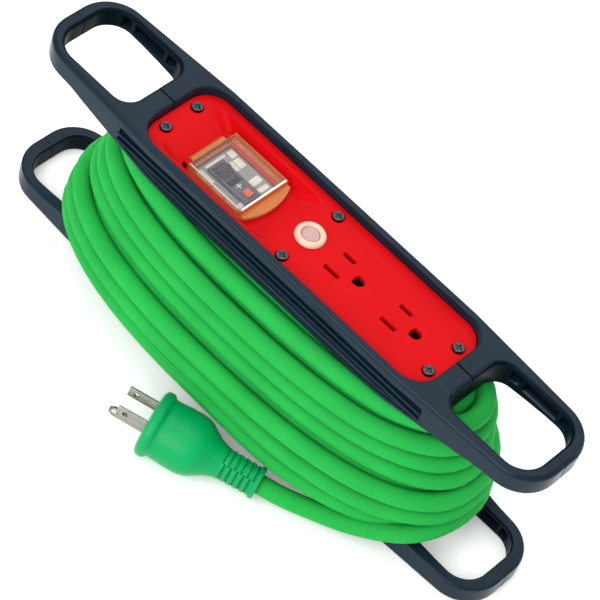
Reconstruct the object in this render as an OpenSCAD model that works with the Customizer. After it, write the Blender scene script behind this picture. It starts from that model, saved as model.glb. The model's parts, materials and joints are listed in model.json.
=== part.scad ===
// Hand-wound extension cord: two moulded frame halves with a hand grip at each end, a recessed
// outlet panel with an earth-leakage breaker, and a heavy three-core cord wound round the core.
// X runs along the frame, Y across it and Z up. The origin is the centre of the resting face.

/* [Frame] */
// Overall length over the two hand grips
reel_len = 324; // [318:1:330]
// Overall height, from one outer face to the other
reel_h = 108; // [106:0.5:110]
// Width of a plate at its middle
plate_w = 59; // [58.5:0.5:62]
// Width of a plate just before its rounded ends
grip_w = 52; // [51:0.5:54]
// Thickness of a plate at its middle
plate_t = 20; // [19:0.5:21]
// Thickness of a hand grip
grip_t = 12; // [11:0.5:13]
// Wall thickness of the frame mouldings
wall = 2.5; // [2:0.1:2.8]

/* [Hand holes] */
// Distance from the middle of the frame to the near end of a hand hole
hole_x0 = 104; // [103.5:0.5:106]
// Distance from the middle of the frame to the far end of a hand hole
hole_x1 = 154.5; // [152:0.5:155]
// Width of a hand hole
hole_w = 41; // [38:0.5:42]

/* [Core] */
// Length of the hollow core between the plates
core_l = 156; // [150:1:158]
// Width of the hollow core
core_w = 34; // [33.6:0.2:36]

/* [Outlet panel] */
// Length of the panel recess
recess_l = 185; // [184:0.5:186]
// Width of the panel recess
recess_w = 51; // [50:0.2:51.4]
// Depth of the panel face below the outer face of the frame
recess_d = 5; // [4.5:0.25:5.5]
// Thickness of the panel
panel_t = 2.5; // [2.2:0.1:2.8]
// Depth of the breaker well below the panel face
well_d = 7; // [6.8:0.1:7.2]
// Distance between the two outlets
outlet_pitch = 36.7; // [36:0.1:38]
// Place of the first outlet's slots along the panel
outlet_x = 20.2; // [19:0.1:21]

/* [Cord] */
// Diameter of the cord
cord_d = 9.8; // [9.2:0.1:10]
// Half width of the winding at its foot
wind_foot = 58; // [55:1:59]
// Reach of the winding beyond the middle, at the foot
wind_reach = 132; // [128:1:132]

/* [Motion] */
// Lean of the breaker lever at rest, towards its ON side
lever_lean = 26; // [20:1:28]
// Stroke of the test button
button_stroke = 1.2; // [0.8:0.1:1.4]

/* [Hidden] */

$fn = 48;
eps = 0.01;
face_z = reel_h - recess_d;         // outlet panel's outer face
ledge_z = face_z - panel_t;         // ledge that the panel rests on
well_z = face_z - well_d;           // floor of the breaker well
inner_lo = plate_t;                 // inner face of the lower plate
inner_hi = reel_h - plate_t;        // inner face of the upper plate
grip_x = 145;                       // where the grips reach their least thickness
mid_x = 60;                         // where the plates reach their full thickness
end_r = 20;                         // corner radius of the plates' ends
recess_r = 13.5;
well_wall = 2.3;
panel_gap = 0.3;
panel_l = recess_l - 2 * panel_gap;
panel_w = recess_w - 2 * panel_gap;
hole_r_in = 9;
hole_r_out = 13;
// Inner face of the core
core_in = core_w / 2 - wall;

// Screw sizes
frame_shank_r = 1.7;
frame_head_r = 3.5;
panel_shank_r = 1.5;
panel_head_r = 2.9;
panel_screw_end = [86.5, 10.5];
panel_screw_mid = 19.3;
plate_screw_x = 98.2;
core_screw_x = 66;
core_screw_z = [30, 56];

// Breaker, measured in the frame's axes
brk_x0 = -65;
brk_x1 = -32;
brk_y = 13.3;
brk_z0 = 66;
brk_z1 = well_z - well_wall;
boss_top = 96.4;
boss_x0 = -60;
boss_x1 = -34;
boss_y = -1.5;
lever_x = -52;
lever_z = 92;
lever_len = 8;
lever_pin_r = 0.9;
button_x = -38;
button_l = 4.4;
button_w = 4;
button_z = 90.6;
hinge_x = -67.4;
hinge_z = 98;
cover_x0 = -65.2;
cover_x1 = -29.4;
cover_y = 16.2;
cover_top = 102;
cover_z0 = well_z + 0.3;
cover_l = cover_x1 - cover_x0;
cover_t = 1.5;

// Cord outlet through the core's front wall
gland_x = 44;
gland_z = 24.9;
clamp_x = 23;
clamp_z = 15;
clamp_screw_y = 9;

// Plug: flange centre, heading and tilt
plug_at = [-2.9, -78.7, 16];
plug_turn = [0, 5, 20.3];
neck_end = 38.5;
relief_end = 59.3;
blade_z = 4.5;
blade_pitch = 12.7;
pin_out = 16;

// Route of the free end of the cord, from the winding to the plug
tail_route = [
  [128.4, -2, 25], [127.4, -9.5, 24.9], [125.6, -16, 24.2], [122.8, -21.6, 22.8], [118.6, -26.8, 20.8],
  [113, -31.3, 18.7], [107, -34.9, 16.4], [100, -38.2, 14], [93, -41.3, 12], [85.8, -44.3, 10.8],
  [78, -47.5, 10], [69.6, -51.3, 9.7], [60.6, -55.2, 10], [52.5, -58.2, 10.8]
];

function arc(cx, cy, r, a0, a1, n = 12) =
  [for (i = [0 : n]) let (a = a0 + (a1 - a0) * i / n) [cx + r * cos(a), cy + r * sin(a)]];
function ease(u) = let (c = min(max(u, 0), 1)) c * c * (3 - 2 * c);
function plate_thickness(x) = grip_t + (plate_t - grip_t) * ease((grip_x - abs(x)) / (grip_x - mid_x));
function unit(v) = v / norm(v);

// ---- swept tubes -----------------------------------------------------------------------------

// Smooth curve through the points of a route
function spline_at(p, i, u) =
  let (a = p[max(i - 1, 0)], b = p[i], c = p[i + 1], d = p[min(i + 2, len(p) - 1)])
  0.5 * (2 * b + u * (c - a) + u * u * (2 * a - 5 * b + 4 * c - d)
         + u * u * u * (3 * b - a - 3 * c + d));
function smooth(p, n) = concat(
  [for (i = [0 : len(p) - 2]) for (k = [0 : n - 1]) spline_at(p, i, k / n)], [p[len(p) - 1]]);
function heading(p, i) = unit(p[min(i + 1, len(p) - 1)] - p[max(i - 1, 0)]);
function side_of(t) = unit(cross(t, abs(t.z) < 0.9 ? [0, 0, 1] : [1, 0, 0]));
function tube_ring(c, t, r, n) =
  let (u = side_of(t), v = cross(u, t))
  [for (k = [0 : n - 1]) let (a = 360 * k / n) c + r * (cos(a) * u + sin(a) * v)];

// Closed solid through a list of rings that hold n points each
module loft(rings, n) {
  m = len(rings);
  points = [for (ring = rings) for (q = ring) q];
  sides = [for (i = [0 : m - 2]) for (k = [0 : n - 1])
    let (a = i * n + k, b = i * n + (k + 1) % n) each [[a, b, b + n], [a, b + n, a + n]]];
  first = [[for (k = [n - 1 : -1 : 0]) k]];
  last = [[for (k = [0 : n - 1]) (m - 1) * n + k]];
  polyhedron(points, concat(sides, first, last), convexity = 4);
}

module tube(route, r, n = 8) {
  loft([for (i = [0 : len(route) - 1]) tube_ring(route[i], heading(route, i), r, n)], n);
}

// ---- frame -----------------------------------------------------------------------------------

module rounded_rect(x0, x1, hw, r0, r1) {
  polygon(concat(
    arc(x1 - r1, hw - r1, r1, 90, 0), arc(x1 - r1, r1 - hw, r1, 0, -90),
    arc(x0 + r0, r0 - hw, r0, -90, -180), arc(x0 + r0, hw - r0, r0, 180, 90)));
}

module plate_outline() {
  x_end = reel_len / 2 - end_r;
  y_end = grip_w / 2 - end_r;
  wide = plate_w / 2;
  polygon(concat(
    [[-80, wide], [80, wide], [100, wide - 1.3]], arc(x_end, y_end, end_r, 87, 0),
    arc(x_end, -y_end, end_r, 0, -87), [[100, 1.3 - wide], [80, -wide], [-80, -wide], [-100, 1.3 - wide]],
    arc(-x_end, -y_end, end_r, -93, -180), arc(-x_end, y_end, end_r, 180, 93), [[-100, wide - 1.3]]));
}

module plate_side() {
  top = [for (x = [reel_len / 2, 145, 134, 122, 110, 98, 86, 74, 60, -60, -74, -86, -98, -110, -122, -134, -145,
                   -reel_len / 2]) [x, plate_thickness(x)]];
  polygon(concat([[-reel_len / 2, 0], [reel_len / 2, 0]], top));
}

// Side channel, which tapers with the plate and leaves a lip along its inner face
module channel_side() {
  xs = [-99, -86, -74, -60, 60, 74, 86, 99];
  polygon(concat([[99, 5.4], [-99, 5.4]], [for (x = xs) [x, plate_thickness(x) - 1.6]]));
}

// One plate with its outer face at z = 0 and its inner face up
module plate() {
  difference() {
    intersection() {
      linear_extrude(plate_t) plate_outline();
      rotate([90, 0, 0]) linear_extrude(plate_w + 2, center = true) plate_side();
    }
    for (s = [-1, 1]) {
      translate([0, 0, -1]) linear_extrude(plate_t + 2)
        scale([s, 1]) rounded_rect(hole_x0, hole_x1, hole_w / 2, hole_r_in, hole_r_out);
      // Hollow of the grip bars, open towards the hand hole, with its stiffening ribs left in
      for (t = [-1, 1]) for (span = [[111, 117.5], [119.5, 140], [142, 147]])
        translate([s * (span[0] + span[1]) / 2, t * (hole_w / 2 + 1), grip_t / 2])
          cube([span[1] - span[0], 4.6, grip_t - 2 * wall], center = true);
      // Outer side channel
      translate([0, s > 0 ? plate_w / 2 + 2 : 2.8 - plate_w / 2, 0]) rotate([90, 0, 0])
        linear_extrude(4.8) channel_side();
    }
  }
  // Fins along the side channel
  for (s = [-1, 1]) for (z = [8.8, 12.8])
    translate([-99.5, s > 0 ? plate_w / 2 - 3 : -plate_w / 2 + 0.4, z]) cube([199, 2.6, 1.1]);
}

module core_outline(inset) {
  rounded_rect(-core_l / 2 + inset, core_l / 2 - inset, core_w / 2 - inset, core_w / 2 - inset - 0.2,
               core_w / 2 - inset - 0.2);
}

module boss_y(x, z, r, len_y) {
  translate([x, 0, z]) rotate([-90, 0, 0]) translate([0, 0, -len_y / 2]) cylinder(r = r, h = len_y);
}

// The whole frame before it is parted along y = 0
module frame_body() {
  difference() {
    union() {
      plate();
      translate([0, 0, reel_h]) mirror([0, 0, 1]) plate();
      translate([0, 0, plate_t - 1]) linear_extrude(reel_h - 2 * plate_t + 2) core_outline(0);
    }
    // Panel recess
    translate([0, 0, ledge_z]) linear_extrude(reel_h)
      rounded_rect(-recess_l / 2, recess_l / 2, recess_w / 2, recess_r, recess_r);
    // Space under the panel, the core and the space in the lower plate
    difference() {
      translate([0, 0, inner_hi + wall]) linear_extrude(reel_h - ledge_z + panel_t + 3)
        rounded_rect(-83, 83, 22.5, 8, 8);
      for (s = [-1, 1])
        translate([0, s * (panel_screw_mid + 1), 0]) cylinder(r = 4.2, h = ledge_z);
    }
    difference() {
      translate([0, 0, wall]) linear_extrude(reel_h - 2 * wall) core_outline(wall);
      for (s = [-1, 1]) {
        for (z = core_screw_z) boss_y(s * core_screw_x, z, 6, core_w);
        translate([clamp_x, s * clamp_screw_y, 0]) cylinder(r = 3.4, h = clamp_z);
      }
    }
    difference() {
      translate([0, 0, wall]) linear_extrude(plate_t - 2 * wall) rounded_rect(-83, 83, 22.5, 8, 8);
      for (s = [-1, 1]) translate([clamp_x, s * clamp_screw_y, 0]) cylinder(r = 3.4, h = clamp_z);
    }
    for (s = [-1, 1]) translate([clamp_x, s * clamp_screw_y, clamp_z - 10]) cylinder(r = 1.65, h = 11);
    // Panel screw holes
    for (p = panel_screw_places())
      translate([p.x, p.y, ledge_z - 10]) cylinder(r = panel_shank_r + 0.05, h = 12);
    // Cord outlet
    translate([gland_x, -core_w / 2 - 1, gland_z]) rotate([-90, 0, 0]) cylinder(r = 7, h = wall + 2);
  }
}

function panel_screw_places() = concat(
  [for (s = [-1, 1]) for (t = [-1, 1]) [s * panel_screw_end.x, t * panel_screw_end.y]],
  [[0, panel_screw_mid], [0, -panel_screw_mid]]);

// Frame screws: place along X and Z, and the depth of the head's seat
function frame_screw_places() = concat(
  [for (s = [-1, 1]) for (z = [8, reel_h - 8]) [s * plate_screw_x, z, 20]],
  [for (s = [-1, 1]) for (z = core_screw_z) [s * core_screw_x, z, 12]]);

module along_y(x, y, z) {
  translate([x, y, z]) rotate([-90, 0, 0]) children();
}

module frame_half_front() color("#3a444f") {
  difference() {
    intersection() {
      frame_body();
      translate([-200, -40, -1]) cube([400, 40, reel_h + 2]);
    }
    for (p = frame_screw_places()) along_y(p[0], -11.5, p[1]) cylinder(r = frame_shank_r + 0.05, h = 12);
  }
}

module frame_half_rear() color("#3a444f") {
  difference() {
    intersection() {
      frame_body();
      translate([-200, 0, -1]) cube([400, 40, reel_h + 2]);
    }
    for (p = frame_screw_places()) {
      along_y(p[0], -1, p[1]) cylinder(r = frame_shank_r + 0.3, h = 22);
      along_y(p[0], p[2], p[1]) cylinder(r = frame_head_r + 0.4, h = 20);
    }
  }
}

module frame_screws() color("#b9bcc0") {
  for (p = frame_screw_places()) {
    difference() {
      along_y(p[0], p[2], p[1]) cylinder(r = frame_head_r, h = 2.4);
      for (a = [0, 90])
        translate([p[0], p[2] + 1.9, p[1]]) rotate([0, a, 0]) cube([4.4, 1.6, 0.9], center = true);
    }
    along_y(p[0], -10, p[1]) cylinder(r = frame_shank_r, h = p[2] + 10 + eps);
  }
}

// ---- outlet panel ----------------------------------------------------------------------------

// A well whose sides slope in from its mouth to its floor
module well(grow, z0, z1) {
  hull() {
    translate([0, 0, z0]) linear_extrude(eps) rounded_rect(-71.6 - grow, -21 + grow, 18 + grow, 5, 5);
    translate([0, 0, z1]) linear_extrude(eps) rounded_rect(-82 - grow, -9.5 + grow, 20.6 + grow, 7, 7);
  }
}

module outlet_slots(z0, h) {
  for (k = [0, 1]) translate([outlet_x + k * outlet_pitch, 0, z0]) {
    translate([-4.6, -slot_y - 1.2, 0]) cube([9.2, 2.4, h]);
    translate([-3.6, slot_y - 1.2, 0]) cube([7.2, 2.4, h]);
    translate([ground_offset, 0, 0]) cylinder(r = ground_r, h = h);
    translate([ground_offset - 2.4, -ground_r, 0]) cube([2.4, 2 * ground_r, h]);
  }
}

module outlet_panel() color("#e2262b") {
  difference() {
    union() {
      translate([0, 0, ledge_z]) linear_extrude(panel_t)
        rounded_rect(-panel_l / 2, panel_l / 2, panel_w / 2, recess_r - panel_gap, recess_r - panel_gap);
      well(1.6, well_z - well_wall, ledge_z + 0.5);
    }
    well(0, well_z, face_z + eps);
    translate([brk_x0 + 1, -brk_y - 0.3, 80]) cube([brk_x1 - brk_x0 - 1.6, 2 * brk_y + 0.6, 20]);
    translate([0, 0, 95]) cylinder(r = 7.2, h = 20);
    outlet_slots(95, 20);
    for (p = panel_screw_places()) translate([p.x, p.y, 95]) {
      cylinder(r = panel_shank_r + 0.4, h = 20);
      translate([0, 0, face_z - 95 - 0.8]) cylinder(r = panel_head_r + 0.4, h = 5);
    }
    for (x = outlet_screw_x) translate([x, 0, 99]) cylinder(r = 1.25, h = 2.8);
  }
  // Hinge lugs for the breaker cover
  for (s = [-1, 1]) difference() {
    union() {
      along_y(hinge_x, s * 13.6 - 1.7, hinge_z) cylinder(r = 1.7, h = 3.4);
      translate([hinge_x - 1.7, s * 13.6 - 1.7, well_z - 0.5]) cube([3.4, 3.4, hinge_z - well_z + 0.5]);
    }
    along_y(hinge_x, -20, hinge_z) cylinder(r = 1.0, h = 40);
  }
}

module cross_screw(head_r, head_h, shank_r, shank_l) {
  difference() {
    cylinder(r = head_r, h = head_h);
    for (a = [0, 90])
      translate([0, 0, head_h]) rotate([0, 0, a]) cube([head_r * 1.25, 0.8, 1.6], center = true);
  }
  translate([0, 0, -shank_l]) cylinder(r = shank_r, h = shank_l + eps);
}

module panel_screws() color("#c4c7ca") {
  for (p = panel_screw_places())
    translate([p.x, p.y, face_z - 0.8]) cross_screw(panel_head_r, 1.8, panel_shank_r, 10.5);
}

// ---- breaker ---------------------------------------------------------------------------------

// Openings of the breaker's base and of the housing on it
module breaker_openings() {
  // Lever slot and the seats of its pin
  translate([lever_x - 6.5, boss_y - 3.9, 86.8]) cube([13, 7.8, 20]);
  along_y(lever_x, boss_y - 4.9, lever_z) cylinder(r = lever_pin_r, h = 9.8);
  // Guide of the button, with its spring seat
  translate([button_x - button_l / 2 - 0.3, boss_y - button_w / 2 - 0.3, button_z - 3.5])
    cube([button_l + 0.6, button_w + 0.6, 20]);
  // Terminal screw wells
  for (p = terminal_places()) translate([p.x, p.y, brk_z0 - 1]) cylinder(r = 2.6, h = 5);
  for (p = terminal_places()) translate([p.x, p.y, brk_z0 - 1]) cylinder(r = 1.3, h = 10);
}

module breaker_body() color("#3b4353") {
  difference() {
    translate([brk_x0, -brk_y, brk_z0]) cube([brk_x1 - brk_x0, 2 * brk_y, brk_z1 - brk_z0]);
    breaker_openings();
  }
}

module breaker_housing() color("#3b4353") {
  difference() {
    translate([boss_x0, boss_y - 5.2, brk_z1]) cube([boss_x1 - boss_x0, 10.4, boss_top - brk_z1]);
    breaker_openings();
  }
}

function terminal_places() = [for (x = [-60, -37]) for (y = [-8, 8]) [x, y]];

module breaker_terminal_screws() color("#d8c48a") {
  for (p = terminal_places())
    translate([p.x, p.y, brk_z0 + 4]) rotate([180, 0, 0]) cross_screw(2.4, 1.6, 1.25, 4);
}

module breaker_label_plate() color("#dfe3de") {
  translate([0, 0, brk_z1]) difference() {
    translate([brk_x0 + 1.4, -brk_y + 0.4, 0]) cube([brk_x1 - brk_x0 - 2.4, 2 * brk_y - 0.8, 0.9]);
    translate([boss_x0 - 0.1, boss_y - 5.3, -1]) cube([boss_x1 - boss_x0 + 0.2, 10.6, 5]);
  }
}

module breaker_lever() color("#343c4c") {
  translate([lever_x, boss_y, lever_z]) rotate([90, -lever_lean, 0]) difference() {
    union() {
      cylinder(r = 4, h = 7, center = true);
      linear_extrude(6.4, center = true)
        polygon([[-3.4, 0], [3.4, 0], [2.1, lever_len], [0.5, lever_len], [0, lever_len - 1], [-0.5, lever_len],
                 [-2.1, lever_len]]);
    }
    cylinder(r = lever_pin_r + 0.05, h = 10, center = true);
  }
}

module lever_pin() color("#c9ccd0") along_y(lever_x, boss_y - 4.9, lever_z) cylinder(r = lever_pin_r, h = 9.8);

module test_button() color("#f0562a") {
  translate([button_x - button_l / 2, boss_y - button_w / 2, button_z])
    cube([button_l, button_w, boss_top + 1 - button_z]);
}

module test_button_spring() color("#c9ccd0") {
  turns = 3;
  coil = [for (i = [0 : 12 * turns]) [1.3 * cos(30 * i), 1.3 * sin(30 * i), 0.3 + 2.8 * i / (12 * turns)]];
  translate([button_x, boss_y, button_z - 3.5]) tube(coil, 0.22, 6);
}

module breaker_cover() color("#f3d9b0", 0.45) {
  difference() {
    union() {
      difference() {
        translate([cover_x0, -cover_y, cover_z0]) cube([cover_l, 2 * cover_y, cover_top - cover_z0]);
        translate([cover_x0 + cover_t, -cover_y + cover_t, cover_z0 - 1])
          cube([cover_l - 2 * cover_t, 2 * (cover_y - cover_t), cover_top - cover_z0 + 1 - cover_t]);
      }
      // Finger tab, thinned and curved towards its edge
      intersection() {
        translate([cover_x1 - eps, -cover_y, 97.6]) cube([6, 2 * cover_y, 1.8]);
        translate([cover_x1 - 29, 0, 90]) cylinder(r = 35, h = 20);
      }
      // Hinge knuckle
      along_y(hinge_x, -11.4, hinge_z) cylinder(r = 1.7, h = 22.8);
      translate([hinge_x, -11.4, hinge_z - 0.9]) cube([cover_x0 - hinge_x + 0.5, 22.8, 2.6]);
    }
    along_y(hinge_x, -20, hinge_z) cylinder(r = 1.05, h = 40);
  }
}

module cover_hinge_pin() color("#c9ccd0") {
  along_y(hinge_x, -15.2, hinge_z) cylinder(r = 1.0, h = 30.4);
}

// ---- pilot lamp ------------------------------------------------------------------------------

module pilot_lens() color("#f6ead2", 0.8) {
  translate([0, 0, face_z]) rotate_extrude($fn = 64)
    polygon([[4.5, -12], [6.9, -12], [6.9, 0.1], [7.75, 0.1], [7.75, 0.9], [7.2, 1.9], [6.2, 2.5], [5.2, 2.5],
             [4.5, 1.6]]);
}

module pilot_diffuser() color("#e6c3bd", 0.85) {
  translate([0, 0, face_z + 0.2]) cylinder(r = 4.4, h = 1.4);
}

module pilot_nut() color("#efe9dc") {
  translate([0, 0, ledge_z - 3.2]) rotate([0, 0, 30]) difference() {
    cylinder(r = 8.6, h = 3.1, $fn = 6);
    translate([0, 0, -1]) cylinder(r = 6.95, h = 6);
  }
}

module neon_lamp() color("#ff9a5a", 0.8) {
  translate([0, 0, face_z - 10]) {
    cylinder(r = 2.4, h = 7);
    translate([0, 0, 7 - eps]) cylinder(r1 = 2.4, r2 = 1, h = 2, $fn = 32);
    for (s = [-1, 1]) translate([s * 1.2, 0, -7]) cylinder(r = 0.35, h = 7 + eps);
  }
}

// ---- outlets ---------------------------------------------------------------------------------

outlet_z0 = 82;
outlet_flange_z = ledge_z - 8;
outlet_x0 = 10;
outlet_x1 = 79;
outlet_hw = 12.5;
outlet_screw_x = [12.5, 76];
back_screw = [42, 10.6];
back_t = 2.5;
slot_y = 6.35;
ground_r = 2.9;
ground_offset = 11.9;

// Outline of the deep part of the outlets, inside the core's cavity
module outlet_deep(z, h) {
  intersection() {
    translate([outlet_x0 + 4.8, -outlet_hw, z]) cube([58, 2 * outlet_hw, h]);
    translate([0, 0, z]) linear_extrude(h) core_outline(wall + 0.3);
  }
}

module outlet_body() color("#e9e6df") {
  difference() {
    union() {
      translate([outlet_x0, -outlet_hw, outlet_flange_z])
        cube([outlet_x1 - outlet_x0, 2 * outlet_hw, ledge_z - outlet_flange_z]);
      outlet_deep(outlet_z0, outlet_flange_z - outlet_z0 + 1);
    }
    outlet_slots(outlet_z0 - 1, 40);
    for (s = [-1, 1]) {
      translate([15.6, s * slot_y - 2.1, outlet_z0 - 1]) cube([47.4, 4.2, 13]);
      translate([back_screw.x, s * back_screw.y, outlet_z0 - 1]) cylinder(r = 1.15, h = 9);
    }
    translate([27.5, -3.6, outlet_z0 - 1]) cube([44, 7.2, 13]);
    for (x = outlet_screw_x) translate([x, 0, outlet_z0 - 1]) cylinder(r = 1.5, h = 40);
  }
}

module outlet_back_plate() color("#d9d6cf") {
  difference() {
    outlet_deep(outlet_z0 - back_t, back_t);
    for (s = [-1, 1]) translate([back_screw.x, s * back_screw.y, outlet_z0 - 5]) cylinder(r = 1.4, h = 10);
  }
}

module outlet_screws() color("#c4c7ca") {
  for (x = outlet_screw_x)
    translate([x, 0, outlet_flange_z]) rotate([180, 0, 0]) cross_screw(2.2, 1.7, 1.2, 9);
}

module back_plate_screws() color("#c4c7ca") {
  for (s = [-1, 1]) translate([back_screw.x, s * back_screw.y, outlet_z0 - back_t])
    rotate([180, 0, 0]) cross_screw(1.7, 1.2, 1.1, 9);
}

// Bus bar with a pair of leaves under each slot
module blade_contacts(y) {
  translate([16.4, y - 1.7, outlet_z0 + 0.2]) cube([45.1, 3.4, 1]);
  for (k = [0, 1]) for (s = [-1, 1])
    translate([outlet_x + k * outlet_pitch - 3.4, y + s * 1.4 - 0.3, outlet_z0 + 1]) cube([6.8, 0.6, 10]);
}

module neutral_contacts() color("#c9a24a") blade_contacts(-slot_y);
module hot_contacts() color("#c9a24a") blade_contacts(slot_y);

module ground_contacts() color("#c9a24a") {
  x0 = outlet_x + ground_offset;
  translate([x0 - 3, -3.35, outlet_z0 + 0.2]) cube([outlet_pitch + 5.4, 6.7, 1]);
  for (k = [0, 1]) for (s = [-1, 1])
    translate([x0 + k * outlet_pitch - 2, s * 3.15 - 0.2, outlet_z0 + 1]) cube([4, 0.4, 10]);
}

// ---- wiring inside the core ------------------------------------------------------------------

wire_r = 1.5;
module wire(route) tube(smooth(route, 3), wire_r, 8);

module supply_wire_hot() color("#22252a")
  wire([[15.1, 2.6, 23.9], [11, 2.7, 24], [2, 3.6, 27], [-12, 7, 36], [-26, 8, 50], [-35, 8, 60], [-37, 8, 65],
        [-37, 8, 67.9]]);
module supply_wire_neutral() color("#e8e8e4")
  wire([[15.1, -2.6, 23.9], [11, -2.7, 24], [2, -3.6, 27], [-12, -7, 36], [-26, -8, 50], [-35, -8, 60],
        [-37, -8, 65], [-37, -8, 67.9]]);
module earth_wire() color("#2f9a4a")
  wire([[15.1, 0, 27.5], [12, 0, 27.8], [8, 0, 34], [8, 0, 48], [18, 0, 62], [30, 0, 71], [32, 0, 76],
        [32, 0, 79.3]]);
module load_wire_hot() color("#22252a")
  wire([[-60, 8, 67.9], [-59.5, 8, 64], [-46, 12, 50], [-14, 12, 46], [4, 11, 56], [17, 8, 70], [20, 6.35, 76],
        [20, 6.35, 79.3]]);
module load_wire_neutral() color("#e8e8e4")
  wire([[-60, -8, 67.9], [-59.5, -8, 64], [-46, -12, 50], [-14, -12, 46], [4, -11, 56], [17, -8, 70],
        [20, -6.35, 76], [20, -6.35, 79.3]]);

// ---- cord anchorage --------------------------------------------------------------------------

module cord_gland() color("#1f2124") {
  difference() {
    union() {
      along_y(gland_x, -core_w / 2, gland_z) cylinder(r = 6.9, h = wall + 1);
      along_y(gland_x, -core_in, gland_z) cylinder(r = 8.4, h = 2);
    }
    along_y(gland_x, -core_w, gland_z) cylinder(r = cord_d / 2, h = 40);
  }
}

// Saddle that holds the cord's inner end down on two pillars of the frame
module cord_clamp() color("#23262b") {
  difference() {
    union() {
      translate([clamp_x - 4, -12, clamp_z]) cube([8, 24, 8]);
      translate([clamp_x - 4, 0, gland_z]) rotate([0, 90, 0]) cylinder(r = 6.4, h = 8);
    }
    for (s = [-1, 1]) translate([clamp_x, s * clamp_screw_y, clamp_z - 1]) cylinder(r = 1.8, h = 10);
    translate([clamp_x - 5, 0, gland_z]) rotate([0, 90, 0]) cylinder(r = cord_d / 2 + 0.1, h = 10);
  }
}

module cord_clamp_screws() color("#c4c7ca") {
  for (s = [-1, 1]) translate([clamp_x, s * clamp_screw_y, clamp_z + 8]) cross_screw(2.4, 1.8, 1.6, 16);
}

module cord_inner_end() color("#2fb457")
  tube(smooth([[gland_x, -core_w / 2 - 0.4, gland_z], [gland_x, -12.5, gland_z], [42.4, -6.4, gland_z],
               [38, -1.8, gland_z], [31, 0, gland_z], [15.4, 0, gland_z]], 3), cord_d / 2 - 0.05, 12);

// ---- winding and free end --------------------------------------------------------------------

wind_n = 48;
wind_lo = inner_lo + 0.4;
wind_hi = inner_hi - 0.4;
// Rings of the winding: height, loss of half width, loss of reach at the left and at the right
wind_rings = [
  [wind_lo, 4, 4, 4], [wind_lo + 1.4, 1, 1, 1], [wind_lo + 4.6, 0, 0, 0], [44, 0.5, 3, 2], [48.5, 4, 5.5, 4],
  [51, 9, 9, 6], [64, 11.2, 12.5, 10], [75, 13, 15.5, 12.5], [79.5, 16.5, 17.5, 14.5], [83.5, 19.2, 19, 15.5],
  [wind_hi - 1.3, 20.5, 20, 16.5], [wind_hi, 23.5, 23, 19.5]
];
function signed_pow(v, e) = sign(v) * pow(abs(v), e);
function wind_ring(z, narrow, left, right) =
  [for (k = [0 : wind_n - 1])
    let (a = 360 * k / wind_n, reach = wind_reach - (cos(a) > 0 ? right - 1 : left))
    [reach * signed_pow(cos(a), 2 / 2.4), (wind_foot - narrow) * signed_pow(sin(a), 2 / 2.4), z]];

module cord_winding() color("#2fb457") {
  difference() {
    loft([for (r = wind_rings) wind_ring(r[0], r[1], r[2], r[3])], wind_n);
    linear_extrude(reel_h) core_outline(-0.4);
  }
}

module cord_tail() color("#2fb457") tube(smooth(tail_route, 3), cord_d / 2, 12);

// ---- plug ------------------------------------------------------------------------------------

// Stations along the plug: place, half width, half height
plug_stations = [
  [-0.8, 13.5, 11.5], [-0.4, 15.6, 13.5], [0.4, 17, 14.8], [1.6, 17.7, 15.4], [4, 17.7, 15.4], [5.4, 17, 14.8],
  [6.2, 15.8, 13.8], [7, 15.8, 13.6], [14, 16.2, 13.8], [21, 16.3, 13.8], [26, 15.2, 13], [30, 12.6, 11.2],
  [34, 9.9, 9.4], [neck_end, 8.2, 8.2]
];
module on_plug() translate(plug_at) rotate(plug_turn) children();

module plug_body() color("#12a65a") on_plug() difference() {
  loft([for (s = plug_stations)
    [for (k = [0 : 31]) let (a = 360 * k / 32) [s[0], s[1] * cos(a), s[2] * sin(a)]]], 32);
  for (s = [-1, 1]) translate([-1, s * blade_pitch / 2 - 0.75, blade_z - 3.17]) cube([7, 1.5, 6.34]);
  translate([-1, 0, blade_z - ground_offset]) rotate([0, 90, 0]) cylinder(r = 2.4, h = 7);
}

module plug_strain_relief() color("#12a65a") on_plug() rotate([0, 90, 0]) {
  translate([0, 0, neck_end]) cylinder(r1 = 7.3, r2 = 6.2, h = relief_end - neck_end - 1, $fn = 32);
  for (i = [0 : 4]) translate([0, 0, neck_end + 1 + 3.4 * i]) cylinder(r = 7.9 - 0.15 * i, h = 2.4);
  translate([0, 0, relief_end - 2.4]) cylinder(r = 8.2, h = 2.4);
}

module plug_blade(y) color("#c9ccd0") on_plug() {
  difference() {
    translate([-pin_out, y - 0.75, blade_z - 3.17]) cube([pin_out + 6, 1.5, 6.34]);
    translate([4.4 - pin_out, y, blade_z]) rotate([90, 0, 0]) cylinder(r = 1.5, h = 4, center = true);
  }
}

module plug_blade_hot() plug_blade(blade_pitch / 2);
module plug_blade_neutral() plug_blade(-blade_pitch / 2);
module plug_ground_pin() color("#c9ccd0") on_plug()
  translate([-pin_out - 2, 0, blade_z - ground_offset]) rotate([0, 90, 0]) {
    cylinder(r = 2.4, h = pin_out + 8);
    rotate([0, 180, 0]) cylinder(r1 = 2.4, r2 = 1.3, h = 2.2, $fn = 32);
  }

frame_half_front();
frame_half_rear();
frame_screws();
outlet_panel();
panel_screws();
breaker_body();
breaker_housing();
breaker_label_plate();
breaker_lever();
lever_pin();
test_button();
test_button_spring();
breaker_terminal_screws();
breaker_cover();
cover_hinge_pin();
pilot_lens();
pilot_diffuser();
pilot_nut();
neon_lamp();
outlet_body();
outlet_back_plate();
outlet_screws();
back_plate_screws();
neutral_contacts();
hot_contacts();
ground_contacts();
supply_wire_hot();
supply_wire_neutral();
earth_wire();
load_wire_hot();
load_wire_neutral();
cord_gland();
cord_clamp();
cord_clamp_screws();
cord_inner_end();
cord_winding();
cord_tail();
plug_body();
plug_strain_relief();
plug_blade_hot();
plug_blade_neutral();
plug_ground_pin();
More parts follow.
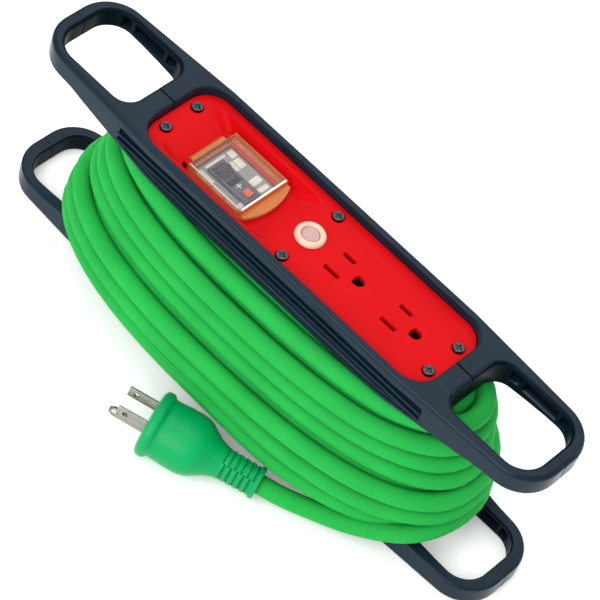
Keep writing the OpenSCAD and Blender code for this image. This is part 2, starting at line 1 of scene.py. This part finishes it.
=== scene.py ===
"""Extension cord wound on a flat hand reel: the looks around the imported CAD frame.

Lengths are in metres, and tables of lengths that are stated in millimetres are turned into metres with MM.
"""
import json
import math

import bmesh
import bpy
from mathutils import Matrix, Vector

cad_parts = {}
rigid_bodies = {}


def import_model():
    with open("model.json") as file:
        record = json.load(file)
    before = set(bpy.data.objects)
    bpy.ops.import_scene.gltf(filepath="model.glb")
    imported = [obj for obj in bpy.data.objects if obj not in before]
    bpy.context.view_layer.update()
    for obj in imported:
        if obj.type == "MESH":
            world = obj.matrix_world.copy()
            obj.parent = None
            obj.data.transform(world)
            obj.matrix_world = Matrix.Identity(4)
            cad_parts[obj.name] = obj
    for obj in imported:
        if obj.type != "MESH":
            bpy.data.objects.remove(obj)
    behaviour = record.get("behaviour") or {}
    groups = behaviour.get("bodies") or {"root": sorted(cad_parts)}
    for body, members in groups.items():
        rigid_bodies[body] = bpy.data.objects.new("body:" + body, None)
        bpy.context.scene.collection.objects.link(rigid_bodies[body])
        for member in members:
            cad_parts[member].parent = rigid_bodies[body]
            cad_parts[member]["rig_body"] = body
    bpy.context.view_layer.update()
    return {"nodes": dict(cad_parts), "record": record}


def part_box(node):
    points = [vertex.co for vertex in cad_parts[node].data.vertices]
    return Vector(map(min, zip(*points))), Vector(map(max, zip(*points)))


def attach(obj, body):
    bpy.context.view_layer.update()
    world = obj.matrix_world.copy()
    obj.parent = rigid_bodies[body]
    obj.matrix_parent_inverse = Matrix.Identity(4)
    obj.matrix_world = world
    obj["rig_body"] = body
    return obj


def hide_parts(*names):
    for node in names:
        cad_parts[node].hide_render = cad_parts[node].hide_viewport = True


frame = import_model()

MM = 0.001
nodes = frame["nodes"]
slot_of = {part["node"]: part["material_slot"] for part in frame["record"]["subparts"]}

# ---- camera ----------------------------------------------------------------------------------

CAMERA_PLACE = (0.40461, -0.76842, 1.13145)
camera_data = bpy.data.cameras.new("camera")
camera_data.lens = 174.59
camera_data.sensor_width = 36
camera = bpy.data.objects.new("camera", camera_data)
camera_right = Vector((0.6988975, 0.6781777, 0.2271944))
camera_down = Vector((0.6543458, -0.4780511, -0.5859169))
camera_forward = Vector((-0.2887453, 0.5581596, -0.7778715))
camera.matrix_world = (
    Matrix.Translation(CAMERA_PLACE)
    @ Matrix((camera_right, -camera_down, -camera_forward)).transposed().to_4x4()
)
bpy.context.scene.collection.objects.link(camera)
bpy.context.scene.camera = camera

# ---- small helpers ---------------------------------------------------------------------------


def mix(a, b, u):
    return a + (b - a) * u


def ease(u):
    c = min(max(u, 0), 1)
    return c * c * (3 - 2 * c)


def spline(points, steps):
    """Smooth curve through the points, the same one that the CAD tubes follow."""
    out = []
    last = len(points) - 1
    for i in range(last):
        a, b, c, d = (points[min(max(k, 0), last)] for k in (i - 1, i, i + 1, i + 2))
        for k in range(steps):
            u = k / steps
            out.append(
                0.5 * (2 * b + u * (c - a) + u * u * (2 * a - 5 * b + 4 * c - d)
                       + u ** 3 * (3 * b - a - 3 * c + d))
            )
    return out + [points[last]]


def add_object(name, data):
    obj = bpy.data.objects.new(name, data)
    bpy.context.scene.collection.objects.link(obj)
    return obj


# ---- cord ------------------------------------------------------------------------------------

CORD_D = 0.0098
POINTS_PER_TURN = 60
# Part of a turn, before and after its end, in which the cord crosses to the next lane
CROSSING = 0.1
# The winding starts half a turn in and ends this part of a turn after the start of the last one
FIRST_AT = 0.5
LAST_PART = 0.235
# Steps of a lane towards the core, across the reel and along it, in millimetres
LANE_WIDTH = 10
LANE_REACH = 10.6
# How square the turns are: 2 is an ellipse. The inner turns are squarer.
SQUARENESS = 2.4
SQUARER_PER_LANE = 0.2
# The turns rise past the ends of the core, from this far out and over this length, and less at the left
RISE_FROM, RISE_OVER = 78, 34
LEFT_RISE = 0.6
# Outermost lane of each row, bottom row first, then the last half turn that leads to the tail:
# height, half width, reach at the left and at the right, lanes, rise past the ends of the core
ROWS = [
    (24.9, 53, 126.4, 118.2, 4, 0), (34.6, 52.8, 125.4, 127.3, 4, 0), (44.3, 52.3, 123.6, 126, 4, 0),
    (54, 43.4, 118, 121.4, 3, 0.3), (63.7, 42.6, 115.4, 118.4, 3, 1.2), (73.4, 41.6, 112.6, 116, 3, 2.4),
    (83.1, 34, 108.6, 113, 2, 4),
    (15.4, 53.4, 127, 128.3, 4, 9.5),
]
TURNS = (
    [(0, row) for row in (0, 1, 3, 4, 5, 6)] + [(1, row) for row in (6, 5, 3, 2, 0)]
    + [(2, row) for row in range(6)] + [(3, row) for row in (2, 1, 0, 7)]
)
# Sag of the lowest outer turns towards the tail, in front and right of the middle
SAG = {(3, 0): 3.4, (3, 1): 1.6}
SAG_FROM, SAG_OVER = 5, 55
SAG_TO, SAG_BACK_OVER = 118, 20
# Unevenness of the turns: up and down in millimetres, and in and out as a part of the width
RIPPLE_UP = 0.3
RIPPLE_OUT = 0.006
# From the gland in the core's wall to the first turn, and from the last turn to the plug
GLAND = (44, -17.4, 24.9)
EXIT_ROUTE = [
    GLAND, (44, -19.6, 24.9), (42.4, -22.6, 24.9), (38, -23.8, 24.9), (30, -23.7, 24.9), (20, -23.3, 24.9),
    (10, -23.1, 24.9),
]
TAIL_ROUTE = [
    (128.4, -2, 25), (127.4, -9.5, 24.9), (125.6, -16, 24.2), (122.8, -21.6, 22.8), (118.6, -26.8, 20.8),
    (113, -31.3, 18.7), (107, -34.9, 16.4), (100, -38.2, 14), (93, -41.3, 12), (85.8, -44.3, 10.8),
    (78, -47.5, 10), (69.6, -51.3, 9.7), (60.6, -55.2, 10), (52.5, -58.2, 10.8),
]


def lane_point(lane, row, angle):
    """Point in millimetres on one turn. A row's last lane is the outermost, and the others lie inside it."""
    height, width, left, right, lanes, rise = ROWS[row]
    inward = lanes - 1 - lane
    c, s = math.cos(angle), math.sin(angle)
    power = 2 / (SQUARENESS + SQUARER_PER_LANE * inward)
    reach = (right if c > 0 else left) - LANE_REACH * inward
    x = reach * math.copysign(abs(c) ** power, c)
    y = (width - LANE_WIDTH * inward) * math.copysign(abs(s) ** power, s)
    lift = rise * ease((abs(x) - RISE_FROM) / RISE_OVER) * (1 if x > 0 else LEFT_RISE)
    sag = 0
    if y < 0:
        sag = SAG.get((lane, row), 0) * ease((x - SAG_FROM) / SAG_OVER) * ease((SAG_TO - x) / SAG_BACK_OVER)
    return Vector((x, y, height + lift - sag))


def winding_route():
    """The turns from the first at the core to the last at the outside, layer by layer."""
    points = []
    last_turn = len(TURNS) - 1
    steps = int((last_turn + LAST_PART - FIRST_AT) * POINTS_PER_TURN)
    for k in range(steps + 1):
        at = FIRST_AT + k / POINTS_PER_TURN
        angle = math.pi / 2 - 2 * math.pi * at
        near = round(at)
        if abs(at - near) < CROSSING and 0 < near <= last_turn:
            u = ease((at - near + CROSSING) / (2 * CROSSING))
            p = mix(lane_point(*TURNS[near - 1], angle), lane_point(*TURNS[near], angle), u)
        else:
            p = lane_point(*TURNS[int(at)], angle)
        p.z += RIPPLE_UP * math.sin(5.1 * at + 0.7) * math.sin(2.3 * angle + int(at))
        p.y *= 1 + RIPPLE_OUT * math.sin(3.7 * at + 2 * angle)
        points.append(p)
    return points


first_bend = spline([Vector(p) for p in EXIT_ROUTE], 3)
tail = spline([Vector(p) for p in TAIL_ROUTE], 3)
cord_points = [p * MM for p in first_bend + winding_route() + tail]


def cord_curve(name, points, radius):
    """Round cord through the points. Its radius is kept in the points, so that the curve's box is right."""
    data = bpy.data.curves.new(name, "CURVE")
    data.dimensions = "3D"
    data.bevel_depth = 1
    data.bevel_resolution = 5
    data.use_fill_caps = True
    line = data.splines.new("POLY")
    line.points.add(len(points) - 1)
    for item, p in zip(line.points, points):
        item.co = (*p, 1)
        item.radius = radius
    line.use_smooth = True
    return add_object(name, data)


cord = cord_curve("cord", cord_points, CORD_D / 2)

# ---- materials -------------------------------------------------------------------------------

# Part of a noise's range that carries its changes
NOISE_LOW, NOISE_HIGH = 0.3, 0.7
BUMP_STRENGTH = 0.6
LEAST_ROUGHNESS = 0.02


def finish_material(name, colour, roughness, grain, depth, shade=0.06, patch=60.0, spread=0.05, **sockets):
    """A moulded or metal surface: fine grain in the bump, and slow changes of colour and roughness."""
    made = bpy.data.materials.new(name)
    made.use_nodes = True
    tree = made.node_tree
    shader = tree.nodes["Principled BSDF"]
    place = tree.nodes.new("ShaderNodeTexCoord")

    def noise(scale, detail):
        node = tree.nodes.new("ShaderNodeTexNoise")
        node.inputs["Scale"].default_value = scale
        node.inputs["Detail"].default_value = detail
        tree.links.new(place.outputs["Object"], node.inputs["Vector"])
        return node.outputs["Fac"]

    ramp = tree.nodes.new("ShaderNodeValToRGB")
    dark, light = ramp.color_ramp.elements
    dark.position = NOISE_LOW
    light.position = NOISE_HIGH
    dark.color = (*[c * (1 - shade) for c in colour], 1)
    light.color = (*[min(1, c * (1 + shade)) for c in colour], 1)
    tree.links.new(noise(patch, 3), ramp.inputs["Fac"])
    tree.links.new(ramp.outputs["Color"], shader.inputs["Base Color"])

    gloss = tree.nodes.new("ShaderNodeMapRange")
    gloss.inputs["From Min"].default_value = NOISE_LOW
    gloss.inputs["From Max"].default_value = NOISE_HIGH
    gloss.inputs["To Min"].default_value = max(LEAST_ROUGHNESS, roughness - spread)
    gloss.inputs["To Max"].default_value = roughness + spread
    tree.links.new(noise(patch * 3, 4), gloss.inputs["Value"])
    tree.links.new(gloss.outputs["Result"], shader.inputs["Roughness"])

    bump = tree.nodes.new("ShaderNodeBump")
    bump.inputs["Strength"].default_value = BUMP_STRENGTH
    bump.inputs["Distance"].default_value = depth
    tree.links.new(noise(grain, 4), bump.inputs["Height"])
    tree.links.new(bump.outputs["Normal"], shader.inputs["Normal"])
    for key, value in sockets.items():
        shader.inputs[key.replace("_", " ")].default_value = value
    return made


# One finish for each material slot of the record
materials = {
    "frame": finish_material("frame", (0.0045, 0.0145, 0.025), 0.24, 1500, 0.00002, 0.16, 40, 0.05,
                             Specular_IOR_Level=0.12),
    "steel": finish_material("steel", (0.30, 0.31, 0.31), 0.30, 1200, 0.00001, 0.1, 300, 0.06, Metallic=1),
    "panel": finish_material("panel", (0.50, 0.002, 0.004), 0.36, 900, 0.00001, 0.05, 30, 0.06,
                             Specular_IOR_Level=0.05),
    "breaker": finish_material("breaker", (0.034, 0.044, 0.085), 0.42, 1500, 0.00002, 0.1, 90),
    "label": finish_material("label", (0.23, 0.26, 0.26), 0.45, 2500, 0.00001, 0.08, 200),
    "lever": finish_material("lever", (0.012, 0.014, 0.045), 0.42, 1500, 0.00002, 0.1, 120),
    "button": finish_material("button", (0.62, 0.055, 0.008), 0.35, 1200, 0.00001, 0.05, 150),
    "cover": finish_material("cover", (0.58, 0.20, 0.045), 0.14, 500, 0.00001, 0.1, 60, 0.05, Alpha=0.5,
                             Specular_IOR_Level=0.3),
    "lens": finish_material("lens", (0.60, 0.42, 0.32), 0.32, 700, 0.00001, 0.05, 160, 0.05,
                            Subsurface_Weight=0.3, Subsurface_Scale=0.002),
    "diffuser": finish_material("diffuser", (0.42, 0.27, 0.26), 0.38, 900, 0.00002, 0.08, 500, 0.05,
                                Subsurface_Weight=0.3, Subsurface_Scale=0.002),
    "ivory": finish_material("ivory", (0.70, 0.66, 0.56), 0.4, 1200, 0.00002),
    "neon": finish_material("neon", (1.0, 0.5, 0.3), 0.1, 500, 0.00001, Transmission_Weight=0.8),
    "outlet": finish_material("outlet", (0.010, 0.010, 0.011), 0.5, 1500, 0.00002, 0.1),
    "brass": finish_material("brass", (0.72, 0.5, 0.2), 0.3, 1200, 0.00001, 0.08, 200, 0.06, Metallic=1),
    "wire_black": finish_material("wire_black", (0.012, 0.012, 0.014), 0.45, 1500, 0.00002, 0.1),
    "wire_white": finish_material("wire_white", (0.7, 0.7, 0.67), 0.45, 1500, 0.00002),
    "wire_green": finish_material("wire_green", (0.03, 0.3, 0.07), 0.45, 1500, 0.00002),
    "gland": finish_material("gland", (0.014, 0.015, 0.017), 0.6, 1500, 0.00004, 0.1),
    "clamp": finish_material("clamp", (0.018, 0.02, 0.024), 0.5, 1500, 0.00003, 0.1),
    "cord": finish_material("cord", (0.014, 0.32, 0.052), 0.6, 1400, 0.00002, 0.07, 35, 0.05,
                            Specular_IOR_Level=0.07, Subsurface_Weight=0.4, Subsurface_Scale=0.005,
                            Subsurface_Radius=(0.2, 1.0, 0.4)),
    "plug": finish_material("plug", (0.0, 0.28, 0.078), 0.3, 900, 0.0004, 0.08, 70, 0.05,
                            Specular_IOR_Level=0.16),
    "blade": finish_material("blade", (0.30, 0.29, 0.26), 0.28, 1500, 0.00001, 0.14, 260, 0.08, Metallic=1),
}
# Finishes of parts of a piece, among them painted shade for the hand holes' walls and for the seam, and
# painted highlight for the lid's edges
screw_dark = finish_material("screw_dark", (0.05, 0.053, 0.057), 0.15, 1200, 0.00001, 0.1, 300, 0.05,
                             Metallic=1)
# Painted shade: the frame's colour made darker and less glossy, for the hand holes' walls where shade falls
hand_hole_painted_shade = finish_material("hand_hole_painted_shade", (0.0012, 0.0045, 0.008), 0.4, 1500, 0.00002, 0.16, 40, 0.05,
                              Specular_IOR_Level=0.04)
# Painted shade: a near-black colour for the faces of the seam's groove
seam_painted_shade = finish_material("seam_painted_shade", (0.001, 0.002, 0.003), 0.6, 1500, 0.00002, 0.1, 40, 0.05,
                            Specular_IOR_Level=0.05)
cover_lid = finish_material("cover_lid", (0.35, 0.33, 0.30), 0.08, 500, 0.00001, 0.03, 60, 0.03, Alpha=0.1)
# Painted highlight: a whitish, nearly opaque colour for bars that stand for the light caught by the lid's
# edges
lid_painted_highlight = finish_material("lid_painted_highlight", (0.86, 0.86, 0.82), 0.12, 500, 0.00001, 0.03, 80, 0.04, Alpha=0.75)
label_white = finish_material("label_white", (0.68, 0.68, 0.60), 0.45, 1800, 0.00001, 0.06, 400)


def dress(obj, slot_name):
    """Gives the piece the finish of one of the record's material slots."""
    obj.data.materials.clear()
    obj.data.materials.append(materials[slot_name])
    return obj


for name, node in nodes.items():
    for holder in node.material_slots:
        holder.material = materials[slot_of[name]]

# ---- pieces made from the CAD shapes, with their edges rounded ---------------------------------

MERGE_WITHIN = 2e-6
# Degrees: faces this near to one plane become one face, and edges sharper than the second stay edges
FLAT_WITHIN = 0.8
SHARP_FROM = 35


def smooth_faces(mesh, degrees=SHARP_FROM):
    for face in mesh.polygons:
        face.use_smooth = True
    mesh.set_sharp_from_angle(angle=math.radians(degrees))


def even_shading(piece):
    """Keeps the large flat faces flat where a rounded edge meets them."""
    weighted = piece.modifiers.new("weighted", "WEIGHTED_NORMAL")
    weighted.keep_sharp = True
    weighted.weight = 100


def opened(node_name):
    """Editable copy of a CAD node's mesh, with whole flat faces."""
    work = bmesh.new()
    work.from_mesh(nodes[node_name].data)
    bmesh.ops.remove_doubles(work, verts=work.verts, dist=MERGE_WITHIN)
    bmesh.ops.dissolve_limit(work, angle_limit=math.radians(FLAT_WITHIN), verts=work.verts, edges=work.edges)
    return work


def closed(work, node_name, name, degrees=SHARP_FROM):
    """Makes the piece that stands for a CAD node out of the edited mesh."""
    mesh = bpy.data.meshes.new(name)
    work.to_mesh(mesh)
    work.free()
    piece = add_object(name, mesh)
    smooth_faces(mesh, degrees)
    even_shading(piece)
    dress(piece, slot_of[node_name])
    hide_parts(node_name)
    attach(piece, nodes[node_name]["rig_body"])
    return piece


def round_edges(work, width, segments=2, keep=lambda edge: True):
    """Rounds the sharp edges that the test keeps."""
    limit = math.radians(SHARP_FROM)
    chosen = [
        e for e in work.edges
        if len(e.link_faces) == 2 and e.calc_face_angle(0) > limit and keep(e)
    ]
    bmesh.ops.bevel(
        work, geom=chosen, offset=width, offset_type="OFFSET", segments=segments, profile=0.5,
        affect="EDGES", clamp_overlap=False, miter_outer="ARC",
    )


def softened(node_name, name, width, segments=2):
    work = opened(node_name)
    round_edges(work, width, segments)
    return closed(work, node_name, name)


# ---- frame -------------------------------------------------------------------------------------

REEL_H = 0.108
ON_FACE = 2e-5
ON_SEAM = 1e-5
# Half length and half width of the recess for the panel
RECESS_X, RECESS_Y = 0.0935, 0.0262
# The hand grips begin here, and their inner faces lie in this range below the outer face
GRIP_FROM = 0.1035
GRIP_INNER = (0.0115, 0.0195)
# The side channel: its end, how far out it lies, and its range below the outer face
CHANNEL_END = 0.0996
CHANNEL_FROM_Y = 0.028
CHANNEL_DEPTH = (0.005, 0.0203)
CHANNEL_LEAST_LENGTH = 0.005
# Middle of the hand holes, and how far a hole's walls face it: those walls get painted shade, a darker and
# less glossy frame colour, and the rest of the grips keeps the frame's finish
HAND_HOLE_X = 0.130
FACES_HOLE = 0.35
# The seam gets painted shade on the bridges between the panel and the hand holes: a dark line for the shade
# in its groove
BRIDGE_END = 0.112
SEAM_HALF_WIDTH = 0.0005


def off_seam(edge):
    return max(abs(v.co.y) for v in edge.verts) > ON_SEAM


def on_face(edge, z):
    return all(abs(v.co.z - z) < ON_FACE for v in edge.verts)


def outer_rim(edge):
    return off_seam(edge) and (on_face(edge, 0) or on_face(edge, REEL_H))


def recess_rim(edge):
    return all(abs(v.co.x) < RECESS_X and abs(v.co.y) < RECESS_Y for v in edge.verts)


def below_face(point):
    """Distance from the nearer outer face of the two plates."""
    return min(point.z, REEL_H - point.z)


def grip_edge(edge):
    """Inner-face edges of the hand grips, past the end of the side channel."""
    low, high = GRIP_INNER
    return off_seam(edge) and all(
        abs(v.co.x) > GRIP_FROM and low < below_face(v.co) < high for v in edge.verts
    )


def channel_edge(edge):
    """Long edges of the side channel and of its fins."""
    low, high = CHANNEL_DEPTH
    a, b = (v.co for v in edge.verts)
    return abs(a.x - b.x) > CHANNEL_LEAST_LENGTH and all(
        abs(p.x) < CHANNEL_END and abs(p.y) > CHANNEL_FROM_Y and low < below_face(p) < high for p in (a, b)
    )


def frame_piece(node_name):
    work = opened(node_name)
    round_edges(work, 0.0012, 3, lambda e: outer_rim(e) and recess_rim(e))
    round_edges(work, 0.0022, 4, lambda e: outer_rim(e) and not recess_rim(e))
    round_edges(work, 0.0012, 3, grip_edge)
    round_edges(work, 0.0005, 2, lambda e: not off_seam(e))
    round_edges(work, 0.0003, 2, channel_edge)
    shell = closed(work, node_name, node_name + "_shell")
    shell.data.materials.append(seam_painted_shade)
    shell.data.materials.append(hand_hole_painted_shade)
    for face in shell.data.polygons:
        c = face.center
        to_hole = Vector((math.copysign(HAND_HOLE_X, c.x) - c.x, -c.y, 0))
        # Seam faces on the bridges get painted shade
        if abs(c.y) < SEAM_HALF_WIDTH and abs(c.x) < BRIDGE_END:
            face.material_index = 1
        # Grip faces that face a hand hole get painted shade
        elif abs(c.x) > GRIP_FROM and face.normal.dot(to_hole) > FACES_HOLE * to_hole.length:
            face.material_index = 2


for half in ("frame_half_front", "frame_half_rear"):
    frame_piece(half)

# ---- panel, screws, outlets, lamp --------------------------------------------------------------

# The blade slots' walls, which are as red as the panel, lie this far from the middle
SLOT_WALLS = (0.0045, 0.0080)

softened("outlet_panel", "red_panel", 0.00035)
softened("panel_screws", "panel_screw_set", 0.00028, 3).data.materials[0] = screw_dark
softened("frame_screws", "frame_screw_set", 0.00018)
outlet_case = closed(opened("outlet_body"), "outlet_body", "outlet_case")
outlet_case.data.materials.append(materials["panel"])
for face in outlet_case.data.polygons:
    if SLOT_WALLS[0] < abs(face.center.y) < SLOT_WALLS[1] and abs(face.normal.z) < 0.1:
        face.material_index = 1
softened("pilot_lens", "lamp_ring", 0.0003, 3)
softened("pilot_diffuser", "lamp_window", 0.0005, 3)

# ---- breaker -----------------------------------------------------------------------------------

softened("breaker_body", "breaker_case", 0.0003)
softened("breaker_housing", "breaker_front", 0.0003)
softened("breaker_label_plate", "breaker_plate", 0.00015)
softened("breaker_lever", "breaker_thumb_lever", 0.00035, 3)
softened("test_button", "trip_test_button", 0.0005, 3)
PLATE_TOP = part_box("breaker_label_plate")[1].z
HOUSING_TOP = 0.0964


def prism(work, outline, z, height):
    """Adds a flat plate with this outline to the mesh."""
    face = work.faces.new([work.verts.new((x, y, z)) for x, y in outline])
    side = bmesh.ops.extrude_face_region(work, geom=[face])["geom"]
    raised = [item for item in side if isinstance(item, bmesh.types.BMVert)]
    bmesh.ops.translate(work, vec=(0, 0, height), verts=raised)


def rounded_outline(x0, x1, y0, y1, r, steps=5):
    corners = ((x1 - r, y1 - r, 0), (x0 + r, y1 - r, 90), (x0 + r, y0 + r, 180), (x1 - r, y0 + r, 270))
    out = []
    for cx, cy, start in corners:
        for k in range(steps + 1):
            a = math.radians(start + 90 * k / steps)
            out.append((cx + r * math.cos(a), cy + r * math.sin(a)))
    return out


def plates(name, boxes, z, height, radius, body, slot_name, material):
    """One piece of several thin plates with rounded corners, each given by its sides in millimetres."""
    work = bmesh.new()
    for x0, x1, y0, y1 in boxes:
        prism(work, rounded_outline(x0 * MM, x1 * MM, y0 * MM, y1 * MM, radius), z, height)
    bmesh.ops.recalc_face_normals(work, faces=work.faces)
    bmesh.ops.bevel(
        work, geom=[e for e in work.edges if all(v.co.z > z + height / 2 for v in e.verts)],
        offset=height * 0.4, segments=2, affect="EDGES",
    )
    mesh = bpy.data.meshes.new(name)
    work.to_mesh(mesh)
    work.free()
    piece = add_object(name, mesh)
    smooth_faces(mesh)
    dress(piece, slot_name)
    mesh.materials[0] = material
    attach(piece, body)
    return piece


LABEL_FIELDS = [
    (-62.3, -58, 8.6, 12.5), (-57, -51.2, 7.6, 11.6), (-57, -51.2, 4.5, 7.1), (-43.9, -40, 4.4, 11.6),
    (-37.9, -35.2, 4.2, 11.4), (-62.3, -60.9, -6, 7), (-62.3, -52.5, -12.3, -10.6),
    (-51.3, -44, -12.3, -10.6), (-42.8, -35.2, -12.3, -10.6), (-62.3, -53, -9.6, -8.4), (-37, -34.6, -9.6, 2),
]
plates("label_fields", LABEL_FIELDS, PLATE_TOP, 0.00012, 0.0003, "reel", "label", label_white)
HOUSING_MARK = [(-45.2, -42.2, -2.1, -1.6), (-43.95, -43.45, -3.3, -2.1), (-43.95, -43.45, -1.6, -0.4)]
plates("housing_mark", HOUSING_MARK, HOUSING_TOP, 0.0001, 0.0001, "reel", "label", label_white)

# The clear window of the cover's lid
LID_X = (-0.0640, -0.0310)
LID_HALF_WIDTH = 0.0150
LID_ABOVE = 0.1
cover = softened("breaker_cover", "breaker_lid", 0.0004, 3)
lid_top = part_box("breaker_cover")[1].z
cover.data.materials.append(cover_lid)
for face in cover.data.polygons:
    c = face.center
    inside_lid = LID_X[0] < c.x < LID_X[1] and abs(c.y) < LID_HALF_WIDTH and c.z > LID_ABOVE
    if inside_lid and abs(face.normal.z) > 0.9:
        face.material_index = 1
# Thin whitish bars along the lid's +X edge and its near edge: painted highlights of those edges
LID_HIGHLIGHT_BARS = [(-30.8, -29.8, -15.2, 15.2), (-64.2, -32, -15.9, -15.5)]
plates("lid_highlight_bars", LID_HIGHLIGHT_BARS, lid_top, 0.0004, 0.0002, "cover", "cover", lid_painted_highlight)

# ---- plug --------------------------------------------------------------------------------------

PLUG_AT = (-2.9, -78.7, 16)
PLUG_TURN, PLUG_TILT = 20.3, 5
# Along the plug, from its face to the cord: place, half width and half height
PLUG_STATIONS = [
    (-0.8, 12.2, 10.4), (-0.6, 14.2, 12.2), (0, 16.2, 14.1), (1, 17.3, 15.1), (2.6, 17.7, 15.4),
    (4, 17.6, 15.3), (5, 17.0, 14.8), (5.8, 16.1, 14), (6.6, 15.8, 13.7), (8, 15.8, 13.6), (14, 16.2, 13.8),
    (21, 16.3, 13.8), (26, 15.2, 13), (30, 12.6, 11.2), (34, 9.9, 9.4), (38.5, 8.2, 8.2),
]
RELIEF_FROM, RELIEF_TO = 38.3, 59.3
RELIEF_RADIUS = 8.1
RELIEF_TAPER = 0.7
RELIEF_STEP = 0.22
RELIEF_AROUND = 72
RIB_PITCH = 3.4
SIDE_GROOVE, TOP_GROOVE = 1.5, 1.0
# Collar at the end of the strain relief, its radius before rounding, and the radius of its inner edge
COLLAR_LENGTH = 2.8
COLLAR_RADIUS, COLLAR_ROUND = 7.2, 1.1
COLLAR_INNER = 4.9
plug_place = (
    Matrix.Translation(Vector(PLUG_AT) * MM)
    @ Matrix.Rotation(math.radians(PLUG_TURN), 4, "Z") @ Matrix.Rotation(math.radians(PLUG_TILT), 4, "Y")
)


def ringed(name, rings, node_name, degrees=SHARP_FROM):
    """Closed piece through rings of points given along the plug, in millimetres."""
    work = bmesh.new()
    rows = [[work.verts.new(plug_place @ (Vector(p) * MM)) for p in ring] for ring in rings]
    count = len(rows[0])
    for a, b in zip(rows, rows[1:]):
        for k in range(count):
            work.faces.new((a[k], a[(k + 1) % count], b[(k + 1) % count], b[k]))
    work.faces.new(rows[0][::-1])
    work.faces.new(rows[-1])
    bmesh.ops.recalc_face_normals(work, faces=work.faces)
    return closed(work, node_name, name, degrees)


def ellipse(x, half_width, half_height, count=64):
    turn = 2 * math.pi / count
    return [(x, half_width * math.cos(k * turn), half_height * math.sin(k * turn)) for k in range(count)]


stations = spline([Vector(row) for row in PLUG_STATIONS], 3)
ringed("plug_shell", [ellipse(*row) for row in stations], "plug_body")


def relief_ring(x):
    """Ring of the strain relief: broad ribs with narrow grooves, which are staggered round the cord."""
    along = (x - RELIEF_FROM) / (RELIEF_TO - RELIEF_FROM)
    ring = []
    for k in range(RELIEF_AROUND):
        a = 2 * math.pi * k / RELIEF_AROUND
        side = abs(math.cos(a)) > 0.62
        if x > RELIEF_TO - COLLAR_LENGTH:
            edge = min(x - RELIEF_TO + COLLAR_LENGTH, RELIEF_TO - x)
            radius = COLLAR_RADIUS + COLLAR_ROUND * min(1, max(0, edge) / 0.5) ** 0.5
        else:
            u = ((x - RELIEF_FROM - 0.9) / RIB_PITCH + (0 if side else 0.5)) % 1
            groove = ease((0.16 - abs(u - 0.5)) / 0.05) if RELIEF_FROM + 1 < x else 0
            radius = RELIEF_RADIUS - RELIEF_TAPER * along - (SIDE_GROOVE if side else TOP_GROOVE) * groove
        ring.append((x, radius * math.cos(a), radius * math.sin(a)))
    return ring


relief_steps = int((RELIEF_TO - RELIEF_FROM) / RELIEF_STEP)
relief_rings = [
    relief_ring(RELIEF_FROM + (RELIEF_TO - RELIEF_FROM) * k / relief_steps) for k in range(relief_steps + 1)
]
relief_rings.append(ellipse(RELIEF_TO, COLLAR_INNER, COLLAR_INNER, RELIEF_AROUND))
ringed("plug_boot", relief_rings, "plug_strain_relief", 50)
for part in ("plug_blade_hot", "plug_blade_neutral", "plug_ground_pin"):
    softened(part, part + "_pin", 0.00012, 2)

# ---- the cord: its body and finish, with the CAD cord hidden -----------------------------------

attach(cord, "reel")
dress(cord, "cord")
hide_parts("cord_winding", "cord_tail")

# ---- floor, light ------------------------------------------------------------------------------

FLOOR = 4
floor_mesh = bpy.data.meshes.new("floor")
floor_corners = [(-FLOOR, -FLOOR, 0), (FLOOR, -FLOOR, 0), (FLOOR, FLOOR, 0), (-FLOOR, FLOOR, 0)]
floor_mesh.from_pydata(floor_corners, [], [(0, 1, 2, 3)])
floor = add_object("floor", floor_mesh)
floor_mesh.materials.append(finish_material(
    "floor", (0.92, 0.92, 0.92), 0.7, 300, 0.00001, 0.005, 5, 0.02,
    Emission_Color=(1, 1, 1, 1), Emission_Strength=0.16,
))


LIGHTS_AIM = Vector((0, 0, 0.05))
WORLD_STRENGTH = 0.72


def soft_light(name, place, size, power):
    data = bpy.data.lights.new(name, "AREA")
    data.shape = "DISK"
    data.size = size
    data.energy = power
    lamp = add_object(name, data)
    lamp.location = place
    lamp.rotation_mode = "QUATERNION"
    lamp.rotation_quaternion = (LIGHTS_AIM - Vector(place)).to_track_quat("-Z", "Y")


soft_light("key", (0.0, -1.35, 1.15), 1.6, 30)
soft_light("top", (-0.3, 0.1, 2.0), 1.3, 10)
soft_light("sheen", (-0.46, 0.89, 1.29), 0.9, 3.5)
soft_light("back", (0.9, 1.4, 1.0), 0.8, 6)
world = bpy.data.worlds.new("studio")
world.use_nodes = True
background = world.node_tree.nodes["Background"]
background.inputs["Color"].default_value = (1, 1, 1, 1)
background.inputs["Strength"].default_value = WORLD_STRENGTH
bpy.context.scene.world = world
bpy.context.scene.view_settings.view_transform = "Standard"
